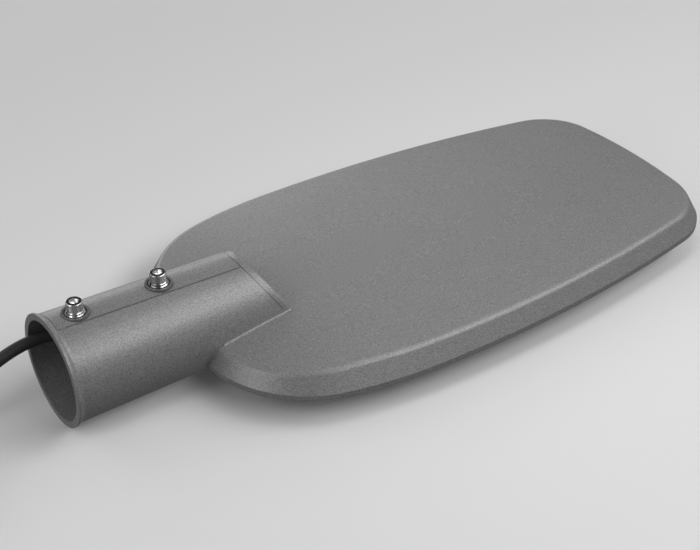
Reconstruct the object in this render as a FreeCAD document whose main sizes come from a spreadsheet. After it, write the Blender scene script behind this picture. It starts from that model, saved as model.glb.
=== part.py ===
import FreeCAD, Part
import math
import os
import re
import Sketcher
from FreeCAD import Placement, Rotation, Vector

# LED street light head: a die-cast paddle with a pole socket, lying on its underside.
# Millimetres. The origin is the centre of the socket's mouth, X runs along the socket into the head,
# Y to the head's left and Z up. The light leaves the underside.

SIZES = {
    # Plate outline, a chain of tangent arcs from the rear edge to the tip
    "plate_rear": 87.2,
    "plate_length": 378.5,
    "rear_half_width": 29.7,
    "rear_corner_radius": 72.6,
    "rear_corner_reach": 54.6,
    "shoulder_radius": 289.9,
    "side_radius": 944.5,
    "front_corner_radius": 46.9,
    "front_corner_reach": 39.95,
    "tip_radius": 476.3,
    # Plate section: a short upright wall, a drafted face, and a crown curved both ways
    "plate_drop": 18,
    "edge_wall": 3.7,
    "edge_draft": 29.2,
    "crown_top": 4.2,
    "crown_centre": 170,
    "crown_across": 1000,
    "crown_front": 12000,
    "crown_rear": 400,
    "crown_reach": 140,
    "cut_room": 20,
    "crease_radius": 4.5,
    "rim_width": 9,
    "recess_margin": 23,
    "skin_level": 5.2,
    # Socket tube
    "mouth_outside": 34.13,
    "tube_taper": 1.177,
    "collar_lip": 1.53,
    "collar_land": 1.3,
    "collar_length": 3.9,
    "collar_round": 4,
    "collar_edge_round": 0.8,
    "mouth_bore": 31.5,
    "socket_bore": 30.2,
    "socket_depth": 95,
    "web": 4,
    "neck_bore": 27.4,
    "tube_top_end": 123.8,
    "end_slant": 32,
    "nose_length": 5.6,
    "nose_step": 0.6,
    "nose_round": 2.8,
    "nose_wall": 3.4,
    # Strip and clamp-screw bosses on the tube's top
    "strip_half_width": 9.2,
    "strip_depth": 8,
    "strip_height": 0.5,
    "boss_radius": 8.4,
    "boss_foot_radius": 8.8,
    "boss_foot_depth": 4,
    "boss_well_radius": 6.9,
    "boss_hole_depth": 7,
    "boss_mouth_at": 19.4,
    "boss_inner_at": 73.3,
    "boss_mouth_seat": 33.55,
    "boss_inner_seat": 32.8,
    "well_depth": 1.1,
    # Clamp screws and washers
    "clamp_shank": 6,
    "clamp_head": 10,
    "clamp_head_height": 6,
    "clamp_head_edge": 0.6,
    "clamp_socket": 5,
    "clamp_socket_depth": 3,
    "clamp_length": 6,
    "washer_outside": 12,
    "washer_bore": 6.4,
    "washer_thickness": 1.2,
    "spring_outside": 10.8,
    "spring_bore": 6.2,
    "spring_thickness": 1.5,
    "spring_gap": 1.6,
    "thread_clearance": 0.1,
    "screw_clearance": 0.2,
    "hole_spare": 0.5,
    "cut_past": 1,
    # Lamp bay in the front of the underside
    "lens_frame": 12,
    "lens_ledge": 8,
    "lens_gap": 13,
    "lens_half_width": 86,
    "lens_thickness": 3,
    "lens_gasket_thickness": 1,
    "lens_clearance": 0.25,
    "lens_corner": 12,
    "board_clearance": 1.5,
    "board_thickness": 1.6,
    "led_side": 3.5,
    "led_height": 0.7,
    "led_pitch": 22,
    "led_margin": 16,
    "led_row_pitch": 33,
    "led_rows": 4,
    "dome_radius": 7,
    "dome_height": 3.6,
    "panel_screw_shank": 4,
    "panel_screw_head": 7.6,
    "panel_screw_head_height": 2.6,
    "panel_screw_length": 8,
    "board_screw_shank": 3,
    "board_screw_head": 5.6,
    "board_screw_head_height": 1.8,
    "board_screw_length": 4,
    # Driver bay behind it
    "bay_rear": 120,
    "bay_half_width": 58,
    "bay_wall": 3.2,
    "bay_corner": 14,
    "cover_thickness": 2.5,
    "cover_gasket_thickness": 1.2,
    "cover_boss_radius": 5.5,
    "cover_screw_shank": 4,
    "cover_screw_head": 8,
    "cover_screw_sink": 2.2,
    "cover_boss_gap": 2,
    "cover_boss_end_gap": 4.5,
    "cover_screw_length": 12,
    "rib_thickness": 3,
    "rib_height": 6,
    "driver_length": 112,
    "driver_width": 64,
    "driver_height": 24,
    "driver_corner": 3,
    "driver_clearance": 5.8,
    "wiring_room": 10,
    "driver_tab": 10,
    "driver_tab_thickness": 2,
    "driver_screw_shank": 4,
    "driver_screw_head": 7,
    "driver_screw_head_height": 2.4,
    "driver_screw_length": 5.5,
    "vent_thread": 10,
    "vent_thread_tail": 4,
    "vent_gap": 1,
    "vent_head": 12.5,
    "vent_head_height": 4.5,
    "vent_head_edge": 1.2,
    "wire_slot_width": 8,
    "wire_slot_height": 4,
    # Cable gland in the web, and what it leads to
    "gland_across": 12,
    "gland_thread": 16,
    "gland_hex": 20,
    "gland_hex_length": 5,
    "gland_sleeve": 14,
    "gland_sleeve_length": 9,
    "gland_cap_outside": 19,
    "gland_cap_length": 14,
    "gland_cap_wall": 2,
    "gland_nut": 22,
    "gland_nut_length": 4,
    "gland_tail": 4,
    "cap_clearance": 0.2,
    "seal_clearance": 0.3,
    "cable_clearance": 0.6,
    "inner_lead": 8,
    "block_length": 14,
    "block_width": 33,
    "block_height": 17,
    "block_room": 16.8,
    "block_screw": 5,
    "block_screw_depth": 4,
    "earth_offset": 12,
    "earth_head_height": 3,
    "earth_tag_rim": 1,
    "earth_tag_thickness": 1.2,
    # Supply cable
    "cable": 7.5,
    "coil_radius": 40,
    "coil_layers": 4,
    "coil_x": -137,
    "coil_y": -22,
    "coil_stub": 26,
    "cable_straight": 16,
    "core": 2.5,
    "core_run": 8,
    "core_drop_room": 9,
    "core_length": 26,
    "ferrule": 1.7,
    "ferrule_length": 8,
    "tie_thickness": 0.9,
    "tie_width": 4,
}

doc = FreeCAD.newDocument("street_light_head")
sheet = doc.addObject("Spreadsheet::Sheet", "sizes")
for row, (alias, size) in enumerate(SIZES.items(), start=1):
    sheet.set(f"A{row}", alias)
    sheet.set(f"B{row}", str(size))
    sheet.setAlias(f"B{row}", alias)
workings = doc.addObject("Spreadsheet::Sheet", "workings")
doc.recompute()


def formula(text):
    """Point every size named in a formula at its cell of the sheet."""
    return re.sub(r"[a-z]\w+", lambda word: ("sizes." if word[0] in SIZES else "") + word[0], str(text))


def num(text):
    """Work out a formula of the sheet's sizes as a number."""
    if isinstance(text, (int, float)):
        return float(text)
    workings.set("A1", "=" + formula(text))
    workings.recompute()
    return float(workings.get("A1"))


def bind(item, **properties):
    """Bind properties of an item to formulas of the sheet's sizes."""
    for name, text in properties.items():
        item.setExpression(name, formula(text))
    return item


def place(item, at, turn=None):
    """Put an item at a point given by formulas or numbers."""
    item.Placement = Placement(Vector(*[num(text) for text in at]), turn or Rotation())
    for axis, text in zip("xyz", at):
        item.setExpression("Placement.Base." + axis, formula(text))
    return item


ALONG_X = Rotation(Vector(0, 1, 0), 90)


def cylinder(name, radius, height, at, turn=None):
    item = doc.addObject("Part::Cylinder", name)
    return place(bind(item, Radius=radius, Height=height), at, turn)


def cone(name, radius, end_radius, height, at, turn=None):
    item = doc.addObject("Part::Cone", name)
    return place(bind(item, Radius1=radius, Radius2=end_radius, Height=height), at, turn)


def box(name, size, at, turn=None):
    item = doc.addObject("Part::Box", name)
    return place(bind(item, Length=size[0], Width=size[1], Height=size[2]), at, turn)


def hexagon(name, across_flats, height, at, turn=None):
    item = doc.addObject("Part::Prism", name)
    item.Polygon = 6
    return place(bind(item, Circumradius=f"({across_flats}) / sqrt(3)", Height=height), at, turn)


def fuse(name, items):
    item = doc.addObject("Part::MultiFuse", name)
    item.Shapes = items
    return item


def cut(name, base, tool):
    item = doc.addObject("Part::Cut", name)
    item.Base = base
    item.Tool = tool
    return item


def common(name, items):
    item = doc.addObject("Part::MultiCommon", name)
    item.Shapes = items
    return item


def new_body(name):
    return doc.addObject("PartDesign::Body", name)


def add_sketch(body, name, role, level=None):
    """Attach a sketch to one of the body's own origin planes, raised to a level."""
    sketch = body.newObject("Sketcher::SketchObject", name)
    plane = [feature for feature in body.Origin.OriginFeatures if feature.Role == role][0]
    sketch.AttachmentSupport = [(plane, "")]
    sketch.MapMode = "FlatFace"
    if level is not None:
        sketch.setExpression("AttachmentOffset.Base.z", formula(level))
    return sketch


def pin(sketch, geometry, point, x, y):
    """Hold a point of a sketch at a place given by formulas."""
    for kind, text in (("DistanceX", x), ("DistanceY", y)):
        index = sketch.addConstraint(Sketcher.Constraint(kind, -1, 1, geometry, point, num(text)))
        sketch.setExpression(f"Constraints[{index}]", formula(text))


def polygon(sketch, corners):
    """Draw a closed outline of straight lines whose corners are given by formulas."""
    points = [Vector(num(x), num(y), 0) for x, y in corners]
    for index, point in enumerate(points):
        sketch.addGeometry(Part.LineSegment(point, points[(index + 1) % len(points)]))
    for index, (x, y) in enumerate(corners):
        following = (index + 1) % len(corners)
        sketch.addConstraint(Sketcher.Constraint("Coincident", index, 2, following, 1))
        pin(sketch, index, 1, x, y)


def pad(body, name, sketch, length, **properties):
    item = body.newObject("PartDesign::Pad", name)
    item.Profile = sketch
    return bind(item, Length=length, **properties)


def pocket_through(body, name, sketch):
    item = body.newObject("PartDesign::Pocket", name)
    item.Profile = sketch
    item.Type = "ThroughAll"
    item.Midplane = True
    return item


def turn_profile(body, name, sketch, axis="H_Axis", kind="PartDesign::Revolution"):
    item = body.newObject(kind, name)
    item.Profile = sketch
    item.ReferenceAxis = (sketch, [axis])
    item.Angle = 360
    return item


def edges_where(item, test):
    """Names of the item's edges whose middle point passes a test."""
    names = []
    for index, edge in enumerate(item.Shape.Edges, start=1):
        middle = edge.valueAt((edge.FirstParameter + edge.LastParameter) / 2)
        if test(middle, edge):
            names.append(f"Edge{index}")
    return names


# The plate's outline: five arcs on each side of the rear edge, each tangent to the next

def polar(centre, radius, angle):
    return centre + Vector(math.cos(angle), math.sin(angle), 0) * radius


def outline_arcs(inset=0.0):
    """Arcs (centre, radius, end angle, start angle) of the left half, from the rear edge to the tip."""
    rear = num("plate_rear")
    tip = num("plate_rear + plate_length")
    radii = [num(name) for name in ("rear_corner_radius", "shoulder_radius", "side_radius",
                                    "front_corner_radius", "tip_radius")]
    rear_centre = Vector(rear + radii[0], num("rear_half_width"), 0)
    rear_angle = math.acos((num("rear_corner_reach") - radii[0]) / radii[0])
    shoulder_centre = polar(rear_centre, radii[0] - radii[1], rear_angle)
    front_joint = tip - num("front_corner_reach")
    tip_centre = Vector(tip - radii[4], 0, 0)

    def chain(angle):
        side_centre = polar(shoulder_centre, radii[1] - radii[2], angle)
        front_angle = math.acos((front_joint - side_centre.x) / radii[2])
        front_centre = polar(side_centre, radii[2] - radii[3], front_angle)
        return side_centre, front_angle, front_centre

    # The side arc begins where the last two arcs then meet without a corner
    low = math.radians(88)
    high = rear_angle
    for _ in range(60):
        middle = (low + high) / 2
        miss = chain(middle)[2].distanceToPoint(tip_centre) - (radii[4] - radii[3])
        if miss > 0:
            high = middle
        else:
            low = middle
    side_centre, front_angle, front_centre = chain(middle)
    reach = front_centre - tip_centre
    tip_angle = math.atan2(reach.y, reach.x)
    angles = [math.pi, rear_angle, middle, front_angle, tip_angle, 0.0]
    centres = [rear_centre, shoulder_centre, side_centre, front_centre, tip_centre]
    return [(centre, radius - inset, angles[index + 1], angles[index])
            for index, (centre, radius) in enumerate(zip(centres, radii))]


def side_at(x, inset):
    """Half width of the plate's outline at a station, inset from its edge."""
    for centre, radius, end, start in outline_arcs(inset):
        if polar(centre, radius, start).x <= x <= polar(centre, radius, end).x:
            return centre.y + math.sqrt(radius ** 2 - (x - centre.x) ** 2)
    return 0.0


def draw_outline(sketch):
    """Draw the outline: rear edge, arcs along +Y, tip, and the mirrored arcs back."""
    arcs = outline_arcs()
    half = num("rear_half_width")
    rear = num("plate_rear")
    tip_centre, tip_radius, _, tip_angle = arcs[-1]
    circle = lambda centre, radius: Part.Circle(centre, Vector(0, 0, 1), radius)
    sketch.addGeometry(Part.LineSegment(Vector(rear, -half, 0), Vector(rear, half, 0)))
    for centre, radius, end, start in arcs[:-1]:
        sketch.addGeometry(Part.ArcOfCircle(circle(centre, radius), end, start))
    sketch.addGeometry(Part.ArcOfCircle(circle(tip_centre, tip_radius), -tip_angle, tip_angle))
    for centre, radius, end, start in reversed(arcs[:-1]):
        mirrored = Vector(centre.x, -centre.y, 0)
        sketch.addGeometry(Part.ArcOfCircle(circle(mirrored, radius), -start, -end))
    # Arcs run anticlockwise, so each one ends where the one before it begins
    sketch.addConstraint(Sketcher.Constraint("Tangent", 0, 2, 1, 2))
    for index in range(1, 9):
        sketch.addConstraint(Sketcher.Constraint("Tangent", index, 1, index + 1, 2))
    sketch.addConstraint(Sketcher.Constraint("Tangent", 9, 1, 0, 1))
    names = ["rear_corner_radius", "shoulder_radius", "side_radius", "front_corner_radius"]
    for index, name in enumerate(names + ["tip_radius"] + names[::-1], start=1):
        number = sketch.addConstraint(Sketcher.Constraint("Radius", index, num(name)))
        sketch.setExpression(f"Constraints[{number}]", formula(name))
    sketch.addConstraint(Sketcher.Constraint("Vertical", 0))
    pin(sketch, 0, 2, "plate_rear", "rear_half_width")
    number = sketch.addConstraint(Sketcher.Constraint("DistanceY", 0, 1, -1, 1, half))
    sketch.setExpression(f"Constraints[{number}]", formula("rear_half_width"))
    sketch.addConstraint(Sketcher.Constraint("PointOnObject", 5, 3, -1))
    stations = ((5, 3, "plate_rear + plate_length - tip_radius"),
                (1, 1, "plate_rear + rear_corner_reach"), (9, 2, "plate_rear + rear_corner_reach"),
                (3, 1, "plate_rear + plate_length - front_corner_reach"),
                (7, 2, "plate_rear + plate_length - front_corner_reach"))
    for geometry, point, text in stations:
        number = sketch.addConstraint(Sketcher.Constraint("DistanceX", -1, 1, geometry, point, num(text)))
        sketch.setExpression(f"Constraints[{number}]", formula(text))


# Housing: the plate

def crown_cut(body, side, radius, stretch, backwards):
    """Turn a crosswise arc about a low axis and cut off all above it, over one stretch of the plate."""
    sketch = add_sketch(body, f"crown_{side}_profile", "YZ_Plane", "crown_centre")
    reach = num("crown_reach")
    across = num("crown_across")
    top = num("crown_top + cut_room")
    middle = Vector(0, num("crown_top") - across, 0)
    spread = math.asin(reach / across)
    level = middle.y + across * math.cos(spread)
    axis_level = num("crown_top") - num(radius)
    sketch.addGeometry(Part.ArcOfCircle(Part.Circle(middle, Vector(0, 0, 1), across), math.pi / 2 - spread,
                                        math.pi / 2 + spread))
    sketch.addGeometry(Part.LineSegment(Vector(-reach, level, 0), Vector(-reach, top, 0)))
    sketch.addGeometry(Part.LineSegment(Vector(-reach, top, 0), Vector(reach, top, 0)))
    sketch.addGeometry(Part.LineSegment(Vector(reach, top, 0), Vector(reach, level, 0)))
    sketch.addGeometry(Part.LineSegment(Vector(-reach, axis_level, 0), Vector(reach, axis_level, 0)), True)
    for first, first_point, second, second_point in ((0, 2, 1, 1), (1, 2, 2, 1), (2, 2, 3, 1), (3, 2, 0, 1)):
        sketch.addConstraint(Sketcher.Constraint("Coincident", first, first_point, second, second_point))
    sketch.addConstraint(Sketcher.Constraint("PointOnObject", 0, 3, -2))
    for kind, line in (("Vertical", 1), ("Vertical", 3), ("Horizontal", 4)):
        sketch.addConstraint(Sketcher.Constraint(kind, line))
    number = sketch.addConstraint(Sketcher.Constraint("Radius", 0, across))
    sketch.setExpression(f"Constraints[{number}]", formula("crown_across"))
    for kind, geometry, point, text in (("DistanceY", 0, 3, "crown_top - crown_across"),
                                        ("DistanceX", 2, 1, "-crown_reach"), ("DistanceX", 2, 2, "crown_reach"),
                                        ("DistanceY", 2, 1, "crown_top + cut_room"),
                                        ("DistanceY", 2, 2, "crown_top + cut_room"),
                                        ("DistanceX", 4, 1, "-crown_reach"), ("DistanceX", 4, 2, "crown_reach"),
                                        ("DistanceY", 4, 1, f"crown_top - {radius}")):
        number = sketch.addConstraint(Sketcher.Constraint(kind, -1, 1, geometry, point, num(text)))
        sketch.setExpression(f"Constraints[{number}]", formula(text))
    item = turn_profile(body, f"crown_{side}", sketch, "Axis0", "PartDesign::Groove")
    item.Reversed = backwards
    return bind(item, Angle=f"({stretch} + cut_room) / {radius} * 180 / pi")


def make_plate():
    body = new_body("plate_form")
    wall_sketch = add_sketch(body, "plate_wall_outline", "XY_Plane", "-plate_drop")
    draw_outline(wall_sketch)
    pad(body, "plate_wall", wall_sketch, "edge_wall")
    draft_sketch = add_sketch(body, "plate_draft_outline", "XY_Plane", "edge_wall - plate_drop")
    draw_outline(draft_sketch)
    step = pad(body, "plate_draft", draft_sketch, "plate_drop - edge_wall + crown_top + cut_past",
               TaperAngle="-edge_draft")
    for side, radius, stretch, backwards in (
            ("front", "crown_front", "plate_rear + plate_length - crown_centre", False),
            ("rear", "crown_rear", "crown_centre - plate_rear", True)):
        doc.recompute()
        before = step.Shape.Volume
        step = crown_cut(body, side, radius, stretch, backwards)
        doc.recompute()
        assert step.Shape.Volume < before, f"the {side} crown cuts nothing"
    tops = [face for face in step.Shape.Faces if face.normalAt(*middle_of(face)).z > 0.9]
    rim = [edge for face in tops for edge in face.Edges]
    names = [f"Edge{index}" for index, edge in enumerate(step.Shape.Edges, start=1)
             if sum(edge.isSame(other) for other in rim) == 1]
    crease = body.newObject("PartDesign::Fillet", "crease")
    crease.Base = (step, names)
    bind(crease, Radius="crease_radius")
    body.Tip = crease
    doc.recompute()
    return body


def middle_of(face):
    low_u, high_u, low_v, high_v = face.ParameterRange
    return (low_u + high_u) / 2, (low_v + high_v) / 2


def block(name, rear, length, half_width, low, height, corner):
    """Upright block, centred across the head, with its four corners rounded."""
    body = new_body(name)
    sketch = add_sketch(body, name + "_outline", "XY_Plane", low)
    front = f"{rear} + {length}"
    polygon(sketch, [(rear, f"-({half_width})"), (front, f"-({half_width})"), (front, half_width),
                     (rear, half_width)])
    solid = pad(body, name + "_pad", sketch, height)
    doc.recompute()
    rounded = body.newObject("PartDesign::Fillet", name + "_corners")
    rounded.Base = (solid, edges_where(solid, lambda middle, edge: edge.BoundBox.ZLength > 0.01))
    bind(rounded, Radius=corner)
    body.Tip = rounded
    return body


def tube_radius(x):
    return f"(mouth_outside - tan(tube_taper) * ({x}))"


TUBE_RUN_OUT = "plate_rear + 90"
TUBE_TOP = tube_radius("tube_top_end")
REST = "-(mouth_outside + collar_lip)"
BAY_RIM = f"({REST} + cover_thickness + cover_gasket_thickness)"
BAY_INSIDE = "bay_rear + bay_wall"
BLOCK_REAR = "(bay_rear + bay_wall + block_room)"
DRIVER_REAR = f"({BLOCK_REAR} + block_length + wiring_room)"
BAY_FRONT = f"({DRIVER_REAR} + driver_length + driver_clearance + bay_wall)"
BAY_LENGTH = f"({BAY_FRONT} - bay_rear)"
LENS_REAR = f"({BAY_FRONT} + lens_gap)"
LED_FIRST = f"({LENS_REAR} + lens_ledge + led_margin)"
LED_ROOM = f"(plate_rear + plate_length - lens_frame - lens_ledge - led_margin / 2 - {LED_FIRST})"
VENT_ACROSS = "(driver_width / 2 + vent_thread / 2 + vent_gap)"
VENT_LEVEL = f"(({BAY_RIM} - plate_drop) / 2)"
LEDGE = "(lens_thickness + lens_gasket_thickness - plate_drop)"


# Housing: the socket tube, its slanted end, strip and bosses

def slanted_cut(body, name, past):
    """Cut a revolved form off along the slanted plane, moved along the tube by a length."""
    sketch = add_sketch(body, name + "_outline", "XZ_Plane")
    lift = "cut_room"
    top = f"tube_top_end + {past} - tan(end_slant) * {lift}"
    foot = f"tube_top_end + {past} + tan(end_slant) * ({TUBE_TOP} + skin_level)"
    far = f"{TUBE_RUN_OUT} + cut_room"
    polygon(sketch, [(top, f"{TUBE_TOP} + {lift}"), (foot, "-skin_level"), (BAY_INSIDE, "-skin_level"),
                     (BAY_INSIDE, f"-({TUBE_TOP} + {lift})"), (far, f"-({TUBE_TOP} + {lift})"),
                     (far, f"{TUBE_TOP} + {lift}")])
    return pocket_through(body, name, sketch)


def make_tube():
    body = new_body("tube_form")
    profile = add_sketch(body, "tube_profile", "XZ_Plane")
    lip = "mouth_outside + collar_lip"
    polygon(profile, [("0", "0"), ("0", lip), ("collar_land", lip),
                      ("collar_length", tube_radius("collar_length")),
                      (TUBE_RUN_OUT, tube_radius(TUBE_RUN_OUT)), (TUBE_RUN_OUT, "0")])
    turned = turn_profile(body, "tube_turned", profile)
    doc.recompute()
    for station, radius in (("collar_length", "collar_round"), ("collar_land", "collar_edge_round")):
        rounded = body.newObject("PartDesign::Fillet", f"{station}_rounded")
        at = num(station)
        rounded.Base = (turned, edges_where(turned, lambda middle, edge: abs(middle.x - at) < 0.01
                                            and edge.BoundBox.XLength < 0.01))
        turned = bind(rounded, Radius=radius)
        doc.recompute()
    slanted_cut(body, "tube_end", "0")
    return body


def make_nose():
    """The last stretch of the tube, a step smaller and rounded where it comes down to the plate."""
    body = new_body("nose_form")
    profile = add_sketch(body, "nose_profile", "XZ_Plane")
    start = "tube_top_end - nose_length"
    polygon(profile, [(start, "0"), (start, f"{tube_radius(start)} - nose_step"),
                      (TUBE_RUN_OUT, f"{tube_radius(TUBE_RUN_OUT)} - nose_step"), (TUBE_RUN_OUT, "0")])
    turn_profile(body, "nose_turned", profile)
    end = slanted_cut(body, "nose_end", "nose_length")
    doc.recompute()
    slant = num("tan(end_slant)")
    foot = num(f"tube_top_end + nose_length + tan(end_slant) * {TUBE_TOP}")

    def on_slant(middle, edge):
        return abs(middle.x + middle.z * slant - foot) < 0.01 and edge.Curve.TypeId != "Part::GeomLine"

    rounded = body.newObject("PartDesign::Fillet", "nose_rounded")
    rounded.Base = (end, edges_where(end, on_slant))
    bind(rounded, Radius="nose_round")
    body.Tip = rounded
    return body


def make_strip():
    reach = "tube_top_end - tan(end_slant) * strip_height"
    raised = cone("strip_cone", f"{tube_radius('0')} + strip_height", f"{tube_radius(reach)} + strip_height",
                  reach, ("0", "0", "0"), ALONG_X)
    band = box("strip_band", (f"{reach} - collar_length", "strip_half_width * 2", "mouth_outside"),
               ("collar_length", "-strip_half_width", f"{TUBE_TOP} - strip_depth"))
    return common("strip_form", [raised, band])


BOSSES = {"mouth": ("boss_mouth_at", "boss_mouth_seat"), "inner": ("boss_inner_at", "boss_inner_seat")}


def make_boss(side):
    at, seat = BOSSES[side]
    return cone(f"boss_{side}_form", "boss_foot_radius", "boss_radius", "boss_foot_depth",
                (at, "0", f"{seat} + well_depth - boss_foot_depth"))


# Housing: what is taken out of it

def make_socket_hollow():
    body = new_body("socket_hollow")
    profile = add_sketch(body, "socket_profile", "XZ_Plane")
    draft = "(mouth_bore - socket_bore) / socket_depth"
    polygon(profile, [("-cut_past", "0"), ("-cut_past", f"mouth_bore + {draft} * cut_past"),
                      ("socket_depth", "socket_bore"),
                      ("socket_depth", "0")])
    turn_profile(body, "socket_turned", profile)
    return body


def make_neck_hollow():
    body = new_body("neck_hollow")
    profile = add_sketch(body, "neck_profile", "XZ_Plane")
    start = "socket_depth + web"
    far = TUBE_RUN_OUT
    polygon(profile, [(start, "0"), (start, "neck_bore"), (far, "neck_bore"), (far, "0")])
    turn_profile(body, "neck_turned", profile)
    slanted_cut(body, "neck_end", "nose_length - nose_wall / cos(end_slant)")
    return body


def make_recess():
    """The shallow hollow under the plate, round the driver bay."""
    outline = doc.addObject("Sketcher::SketchObject", "plate_outline")
    draw_outline(outline)
    doc.recompute()
    sheet_form = doc.addObject("Part::Offset2D", "recess_outline")
    sheet_form.Source = outline
    bind(sheet_form, Value="-rim_width")
    solid = extrude("recess_solid", sheet_form, "-plate_drop - cut_past", "plate_drop + cut_past - skin_level")
    rear = "plate_rear + recess_margin"
    behind = box("recess_reach", (f"{LENS_REAR} - lens_frame - ({rear})", "plate_length", "plate_drop * 2"),
                 (rear, "-plate_length / 2", "-plate_drop * 1.5"))
    return common("recess", [solid, behind])


def extrude(name, base, low, height):
    item = doc.addObject("Part::Extrusion", name)
    item.Base = base
    item.DirMode = "Custom"
    item.Dir = Vector(0, 0, 1)
    item.Solid = True
    bind(item, LengthFwd=height)
    item.setExpression("Placement.Base.z", formula(low))
    return item


def lamp_layer(name, inset, low, height):
    """A layer of the lamp bay: the plate's outline and a straight rear edge, both inset alike."""
    edge = doc.addObject("Part::Offset2D", name + "_edge")
    edge.Source = doc.getObject("plate_outline")
    bind(edge, Value=f"-(lens_frame + {inset})")
    full = extrude(name + "_full", edge, low, height)
    window = block(name + "_window", f"{LENS_REAR} + {inset}", "plate_length", f"lens_half_width - ({inset})",
                   f"{low} - cut_past", f"{height} + cut_past * 2", f"lens_corner - ({inset}) / 2")
    return common(name, [full, window])


RIB_STATIONS = (0.24, 0.5, 0.76)


def make_ribs(within):
    """Cross ribs of the recess, from the driver bay's walls out to the rim."""
    ribs = []
    for index, share in enumerate(RIB_STATIONS):
        at = f"bay_rear + {BAY_LENGTH} * {share} - rib_thickness / 2"
        ribs.append(box(f"rib_{index}", ("rib_thickness", "plate_length", "rib_height + cut_past"),
                        (at, "-plate_length / 2", "-skin_level - rib_height")))
    return common("ribs", [fuse("rib_bars", ribs), within])


def cover_screw_places():
    inset = "cover_boss_radius + cover_boss_end_gap"
    across = "bay_half_width - cover_boss_radius - cover_boss_gap"
    lengthwise = (f"bay_rear + {inset}", f"bay_rear + {BAY_LENGTH} / 2", f"{BAY_FRONT} - ({inset})")
    return [(x, y) for x in lengthwise for y in (across, f"-({across})")]


def make_bay_hollow():
    inside = block("bay_space", BAY_INSIDE, f"{BAY_LENGTH} - bay_wall * 2", "bay_half_width - bay_wall",
                   f"{REST} - cut_past", f"-skin_level + cut_past - {REST}", "bay_corner - bay_wall")
    posts = [cylinder(f"cover_post_{index}", "cover_boss_radius", "plate_drop * 4", (x, y, "-plate_drop * 4"))
             for index, (x, y) in enumerate(cover_screw_places())]
    return cut("bay_hollow", inside, fuse("cover_posts", posts))


# Shares of the lens panel's half width and length at which its screws stand
END_SHARE = 0.3
MIDDLE_SHARE = 0.38
FRONT_SHARE = 0.76


def panel_screw_places():
    """Screws round the lens panel, on the middle of its ledge."""
    middle = num("lens_ledge / 2")
    rear = num(LENS_REAR) + middle
    side = num("lens_half_width") - middle
    tip = num("plate_rear + plate_length - lens_frame") - middle
    across = num("lens_half_width")
    along = num("plate_rear + plate_length") - num(LENS_REAR)
    front = rear + along * FRONT_SHARE
    places = [(rear, across * END_SHARE)]
    for x in (rear + num("lens_corner / 2"), rear + along * MIDDLE_SHARE, front):
        places.append((x, min(side, side_at(x, num("lens_frame") + middle))))
    tip_centre = num("plate_rear + plate_length - tip_radius")
    tip_radius = num("tip_radius - lens_frame") - middle
    places.append((tip_centre + math.sqrt(tip_radius ** 2 - (across * END_SHARE) ** 2), across * END_SHARE))
    return [(x, y * side) for x, y in places for side in (1, -1)]


def led_columns():
    """Stations of the LED columns that the lamp bay has room for."""
    count = int(num(LED_ROOM) / num("led_pitch")) + 1
    return [num(LED_FIRST) + num("led_pitch") * column for column in range(count)]


def board_screw_places():
    """One screw in the middle and four at the sides of the LED field, between its columns."""
    columns = led_columns()
    half_pitch = num("led_pitch") / 2
    side = num("led_row_pitch * led_rows / 2")
    rear = columns[0] + half_pitch
    front = columns[-2] - half_pitch
    middle = columns[len(columns) // 2] - half_pitch
    return [(rear, side), (rear, -side), (front, side), (front, -side), (middle, 0)]


def led_places():
    return [(x, num(f"led_row_pitch * ({row} - (led_rows - 1) / 2)"))
            for x in led_columns() for row in range(int(num("led_rows")))]


def driver_screw_places():
    side = "driver_width / 2 + driver_tab / 2"
    return [(x, y) for x in (f"{DRIVER_REAR} + driver_tab", f"{DRIVER_REAR} + driver_length - driver_tab")
            for y in (side, f"-({side})")]


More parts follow.
